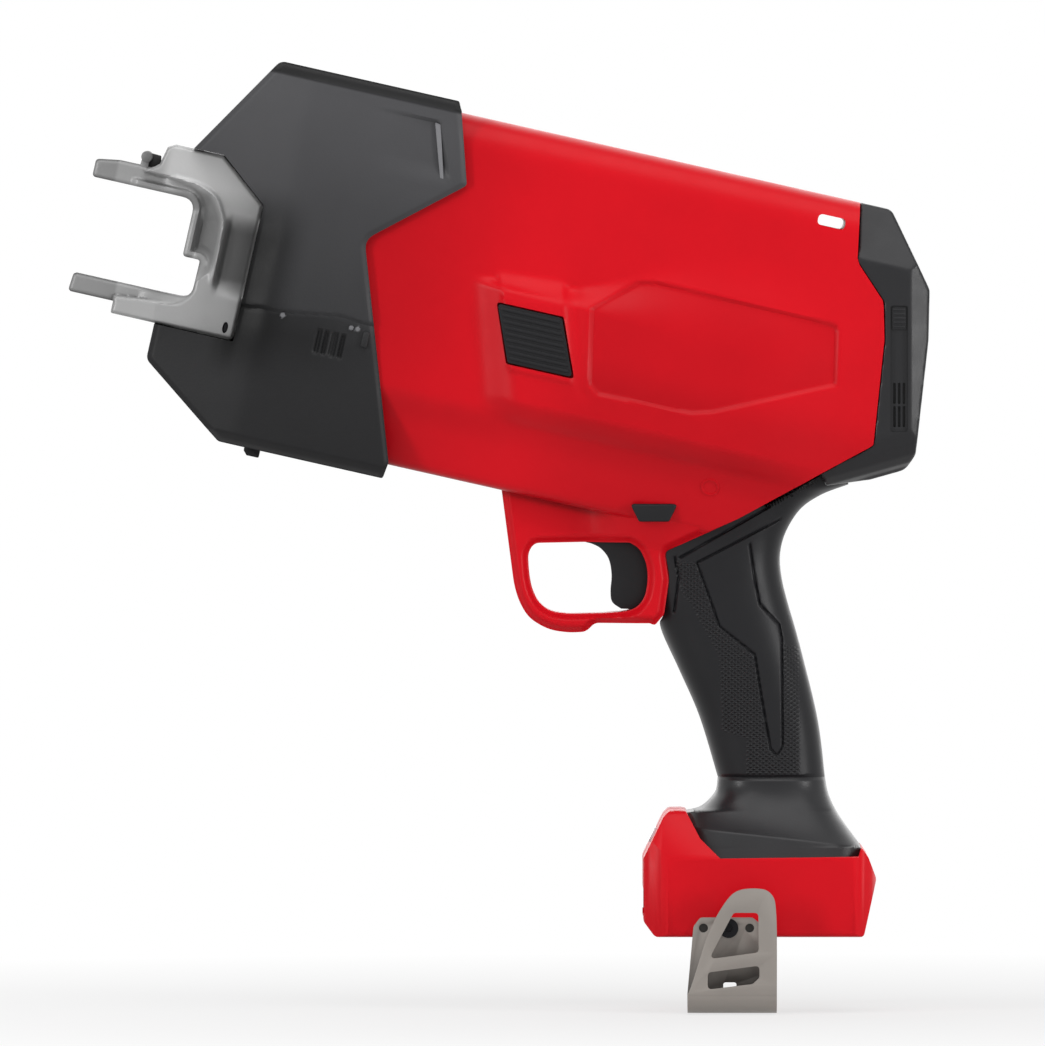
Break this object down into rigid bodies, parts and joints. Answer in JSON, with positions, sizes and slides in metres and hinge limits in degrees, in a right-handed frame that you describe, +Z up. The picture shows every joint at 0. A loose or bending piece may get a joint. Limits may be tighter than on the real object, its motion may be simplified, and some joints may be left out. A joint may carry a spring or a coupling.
{
  "type": "cordless pipe cutter",
  "caption": "Pistol-grip cordless cutter: open two-finger jaw in a hexagonal nose, tilted barrel with motor and screw drive, grip, battery foot and belt hook.",
  "frame": {"origin": "middle of the battery foot's lower face, on the tool's middle plane", "axes": "+X aft, away from the jaw; +Y to the tool's right; +Z up along the grip"},
  "size_m": [0.327, 0.0948, 0.3604],
  "materials": {
    "red_plastic": "satin moulded nylon",
    "nose_plastic": "fine matt moulding",
    "black_rubber": "soft overmould with fine texture",
    "black_plastic": "matt moulding",
    "cast_grey": "light grey cast jaw, bead blasted",
    "hook_grey": "warm grey coated sheet",
    "tool_steel": "ground and hardened",
    "bearing_steel": "polished",
    "screw_black": "black oxide",
    "spring_steel": "drawn wire",
    "bronze": "turned bearing bronze",
    "copper": "enamelled copper",
    "contact_brass": "plated blades",
    "gearbox_alloy": "die cast",
    "board_green": "lacquered board",
    "lamp_lens": "frosted lens"
  },
  "bodies": {
    "frame": {"housing_left": "red_plastic", "housing_right": "red_plastic", "foot_left": "red_plastic", "foot_right": "red_plastic", "nose_cover_left": "nose_plastic", "nose_cover_right": "nose_plastic", "grip_left": "black_rubber", "grip_right": "black_rubber", "collar_left": "black_rubber", "collar_right": "black_rubber", "rear_cap": "black_rubber", "trigger_switch": "black_plastic", "terminal_block": "black_plastic", "jaw_left": "cast_grey", "jaw_right": "cast_grey", "belt_hook": "hook_grey", "pivot_pin": "tool_steel", "ring_gear": "tool_steel", "motor_stator": "tool_steel", "screw_bearing": "bearing_steel", "front_bearing": "bearing_steel", "rear_bearing": "bearing_steel", "cheek_screws": "screw_black", "arm_screws": "screw_black", "gearbox_screws": "screw_black", "housing_screws": "screw_black", "nose_screws": "screw_black", "hook_screw": "screw_black", "trigger_spring": "spring_steel", "button_spring_left": "spring_steel", "button_spring_right": "spring_steel", "motor_windings": "copper", "battery_contacts": "contact_brass", "gearbox_housing": "gearbox_alloy", "gearbox_cover": "gearbox_alloy", "control_board": "board_green", "work_light": "lamp_lens"},
    "rotor": {"motor_rotor": "tool_steel", "motor_shaft": "tool_steel", "sun_gear": "tool_steel", "motor_fan": "black_plastic"},
    "screw": {"drive_screw": "tool_steel", "planet_carrier": "tool_steel", "planet_pins": "tool_steel"},
    "planet_1": {"planet_gear_1": "tool_steel"},
    "planet_2": {"planet_gear_2": "tool_steel"},
    "planet_3": {"planet_gear_3": "tool_steel"},
    "rack": {"drive_rack": "tool_steel", "drive_nut": "bronze"},
    "blade_pack": {"blade": "tool_steel", "blade_gears": "tool_steel", "pivot_bush": "bronze"},
    "trigger": {"trigger": "black_plastic"},
    "lock_shuttle": {"lock_shuttle": "black_plastic"},
    "release_button_left": {"release_button_left": "black_plastic"},
    "release_button_right": {"release_button_right": "black_plastic"}
  },
  "joints": [
    {"name": "rack_slide", "type": "slide", "parent": "frame", "child": "rack", "axis": [-0.9755, 0, 0.2198], "range_m": [0, 0.01675]},
    {"name": "screw_spin", "type": "hinge", "parent": "frame", "child": "screw", "pos_m": [-0.23344, 0, 0.2738], "axis": [0.9755, 0, -0.2198], "range_deg": [-0.5, 754.5]},
    {"name": "rotor_spin", "type": "hinge", "parent": "frame", "child": "rotor", "pos_m": [-0.23344, 0, 0.2738], "axis": [0.9755, 0, -0.2198], "range_deg": [-2.5, 3772.5]},
    {"name": "blade_swing", "type": "hinge", "parent": "frame", "child": "blade_pack", "pos_m": [-0.1878, 0, 0.23072], "axis": [0, -1, 0], "range_deg": [-0.05, 80.05]},
    {"name": "planet_1_spin", "type": "hinge", "parent": "screw", "child": "planet_1", "pos_m": [-0.10028, 0.015, 0.2438], "axis": [0.9755, 0, -0.2198], "range_deg": [-2012.5, 0.5]},
    {"name": "planet_2_spin", "type": "hinge", "parent": "screw", "child": "planet_2", "pos_m": [-0.09742, -0.0075, 0.25647], "axis": [0.9755, 0, -0.2198], "range_deg": [-2012.5, 0.5]},
    {"name": "planet_3_spin", "type": "hinge", "parent": "screw", "child": "planet_3", "pos_m": [-0.10314, -0.0075, 0.23112], "axis": [0.9755, 0, -0.2198], "range_deg": [-2012.5, 0.5]},
    {"name": "trigger_pull", "type": "slide", "parent": "frame", "child": "trigger", "axis": [1, 0, 0], "range_m": [0, 0.006], "stiffness_N_per_m": 1200, "springref_m": -0.003, "deforming": ["trigger_spring"]},
    {"name": "lock_slide", "type": "slide", "parent": "frame", "child": "lock_shuttle", "axis": [0, 1, 0], "range_m": [-0.0025, 0.0025]},
    {"name": "release_press_left", "type": "slide", "parent": "frame", "child": "release_button_left", "axis": [0, 1, 0], "range_m": [0, 0.0025], "stiffness_N_per_m": 1000, "springref_m": -0.001, "deforming": ["button_spring_left"]},
    {"name": "release_press_right", "type": "slide", "parent": "frame", "child": "release_button_right", "axis": [0, -1, 0], "range_m": [0, 0.0025], "stiffness_N_per_m": 1000, "springref_m": -0.001, "deforming": ["button_spring_right"]}
  ],
  "couplings": [
    {"joint": "screw_spin", "follows": "rack_slide", "rad_per_m": 785.4},
    {"joint": "rotor_spin", "follows": "rack_slide", "rad_per_m": 3927},
    {"joint": "blade_swing", "follows": "rack_slide", "rad_per_m": 83.333},
    {"joint": "planet_1_spin", "follows": "rack_slide", "rad_per_m": -2094.4},
    {"joint": "planet_2_spin", "follows": "rack_slide", "rad_per_m": -2094.4},
    {"joint": "planet_3_spin", "follows": "rack_slide", "rad_per_m": -2094.4}
  ]
}
